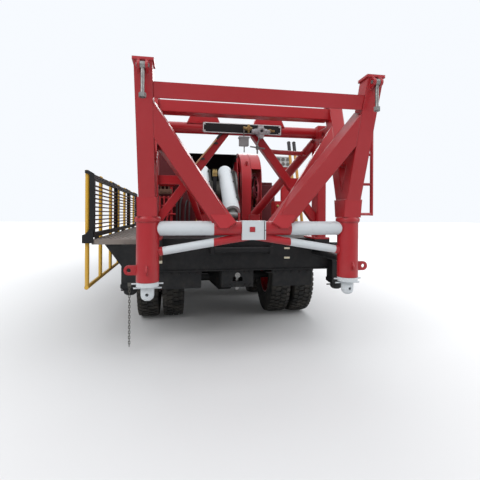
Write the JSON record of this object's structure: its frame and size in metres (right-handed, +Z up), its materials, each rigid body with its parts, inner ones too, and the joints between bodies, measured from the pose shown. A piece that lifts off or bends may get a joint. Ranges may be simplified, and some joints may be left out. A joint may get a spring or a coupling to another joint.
{
  "type": "workover rig",
  "caption": "Truck-mounted workover rig without its mast: red mast base on screw jacks, bracket, rams, drawworks, deck engine and folding walkway on a wheeled chassis with a cab.",
  "frame": {"origin": "middle of the whole rig's outline at ground level, under the tyres", "axes": "+Y towards the cab, +X to the driver's right looking forward, +Z up"},
  "size_m": [3.222, 10.3289, 2.99],
  "materials": {
    "tyre": "matte",
    "black_paint": "satin",
    "white_paint": "gloss",
    "yellow_paint": "gloss",
    "grey_paint": "satin",
    "steel": "satin",
    "glass": "clear",
    "lens": "gloss",
    "cabin_plastic": "matte",
    "red_paint": "gloss"
  },
  "bodies": {
    "chassis": {"chassis_frame": "black_paint", "deck": "black_paint", "rear_beam": "black_paint", "outrigger_housings": "black_paint", "platform": "black_paint", "walkway_hinges": "black_paint", "leg_left": "red_paint", "leg_right": "red_paint", "base_bracing": "red_paint", "white_tubes": "white_paint", "swing_bolts": "steel", "mast_bracket": "red_paint", "bracket_braces": "red_paint", "drawworks_frame": "red_paint", "drum_hood": "black_paint", "drum_guard": "red_paint", "console": "grey_paint", "console_stand": "red_paint", "brake_levers": "yellow_paint", "deck_engine": "yellow_paint", "exhaust": "steel", "gearbox": "grey_paint", "hydraulic_tank": "red_paint", "fuel_tanks": "grey_paint", "front_rest": "red_paint", "driveline": "grey_paint", "rear_axles": "black_paint", "front_axle": "black_paint", "springs": "black_paint", "cab_shell": "white_paint", "cab_glass": "glass", "cab_interior": "cabin_plastic", "cab_trim": "black_paint", "lamps": "lens"},
    "drum": {"drum": "steel"},
    "rams": {"ram_feet": "steel"},
    "ram_barrels": {"ram_barrels": "white_paint"},
    "jack_left": {"jack_left": "white_paint"},
    "jack_right": {"jack_right": "white_paint"},
    "outrigger_left": {"outrigger_left": "black_paint"},
    "outrigger_right": {"outrigger_right": "black_paint"},
    "walkway": {"walkway_panel": "black_paint"},
    "handrail": {"handrail": "yellow_paint"},
    "door_left": {"door_left": "white_paint"},
    "door_right": {"door_right": "white_paint"},
    "knuckle_left": {"knuckle_left": "black_paint"},
    "knuckle_right": {"knuckle_right": "black_paint"},
    "wheel_front_left": {"tyre_front_left": "tyre", "rim_front_left": "red_paint"},
    "wheel_front_right": {"tyre_front_right": "tyre", "rim_front_right": "red_paint"},
    "wheels_mid_left": {"tyres_mid_left": "tyre", "rims_mid_left": "red_paint"},
    "wheels_mid_right": {"tyres_mid_right": "tyre", "rims_mid_right": "red_paint"},
    "wheels_rear_left": {"tyres_rear_left": "tyre", "rims_rear_left": "red_paint"},
    "wheels_rear_right": {"tyres_rear_right": "tyre", "rims_rear_right": "red_paint"}
  },
  "joints": [
    {"name": "drum_spin", "type": "hinge", "parent": "chassis", "child": "drum", "pos_m": [0.1385, -1.0105, 1.95], "axis": [1, 0, 0], "continuous": true},
    {"name": "ram_swing", "type": "hinge", "parent": "chassis", "child": "rams", "pos_m": [0.1385, -2.7305, 1.48], "axis": [1, 0, 0], "range_deg": [0, 30]},
    {"name": "ram_extend", "type": "slide", "parent": "rams", "child": "ram_barrels", "axis": [0, 0.7934, 0.6088], "range_m": [0, 0.5]},
    {"name": "jack_left_screw", "type": "slide", "parent": "chassis", "child": "jack_left", "axis": [0, 0, -1], "range_m": [0, 0.45]},
    {"name": "jack_right_screw", "type": "slide", "parent": "chassis", "child": "jack_right", "axis": [0, 0, -1], "range_m": [0, 0.45]},
    {"name": "outrigger_left_lower", "type": "slide", "parent": "chassis", "child": "outrigger_left", "axis": [0, 0, -1], "range_m": [0, 0.38]},
    {"name": "outrigger_right_lower", "type": "slide", "parent": "chassis", "child": "outrigger_right", "axis": [0, 0, -1], "range_m": [0, 0.38]},
    {"name": "walkway_fold", "type": "hinge", "parent": "chassis", "child": "walkway", "pos_m": [-1.5215, -1.8105, 1.162], "axis": [0, -1, 0], "range_deg": [0, 90]},
    {"name": "handrail_fold", "type": "hinge", "parent": "walkway", "child": "handrail", "pos_m": [-1.5455, -1.8105, 1.959], "axis": [0, 1, 0], "range_deg": [0, 270]},
    {"name": "door_left_hinge", "type": "hinge", "parent": "chassis", "child": "door_left", "pos_m": [-1.1155, 4.8155, 2], "axis": [0, 0, -1], "range_deg": [0, 70]},
    {"name": "door_right_hinge", "type": "hinge", "parent": "chassis", "child": "door_right", "pos_m": [1.3925, 4.8155, 2], "axis": [0, 0, 1], "range_deg": [0, 70]},
    {"name": "steer_left", "type": "hinge", "parent": "chassis", "child": "knuckle_left", "pos_m": [-0.7215, 3.6895, 0.5625], "axis": [0, 0, 1], "range_deg": [-32, 32]},
    {"name": "steer_right", "type": "hinge", "parent": "chassis", "child": "knuckle_right", "pos_m": [0.9985, 3.6895, 0.5625], "axis": [0, 0, 1], "range_deg": [-32, 32]},
    {"name": "spin_front_left", "type": "hinge", "parent": "knuckle_left", "child": "wheel_front_left", "pos_m": [-0.8915, 3.6895, 0.5625], "axis": [1, 0, 0], "continuous": true},
    {"name": "spin_front_right", "type": "hinge", "parent": "knuckle_right", "child": "wheel_front_right", "pos_m": [1.1685, 3.6895, 0.5625], "axis": [1, 0, 0], "continuous": true},
    {"name": "spin_mid_left", "type": "hinge", "parent": "chassis", "child": "wheels_mid_left", "pos_m": [-0.7945, -1.1105, 0.5625], "axis": [1, 0, 0], "continuous": true},
    {"name": "spin_mid_right", "type": "hinge", "parent": "chassis", "child": "wheels_mid_right", "pos_m": [1.0715, -1.1105, 0.5625], "axis": [1, 0, 0], "continuous": true},
    {"name": "spin_rear_left", "type": "hinge", "parent": "chassis", "child": "wheels_rear_left", "pos_m": [-0.7945, -2.4605, 0.5625], "axis": [1, 0, 0], "continuous": true},
    {"name": "spin_rear_right", "type": "hinge", "parent": "chassis", "child": "wheels_rear_right", "pos_m": [1.0715, -2.4605, 0.5625], "axis": [1, 0, 0], "continuous": true}
  ],
  "couplings": [
    {"joint": "handrail_fold", "follows": "walkway_fold", "ratio": 3},
    {"joint": "steer_right", "follows": "steer_left", "ratio": 1}
  ]
}
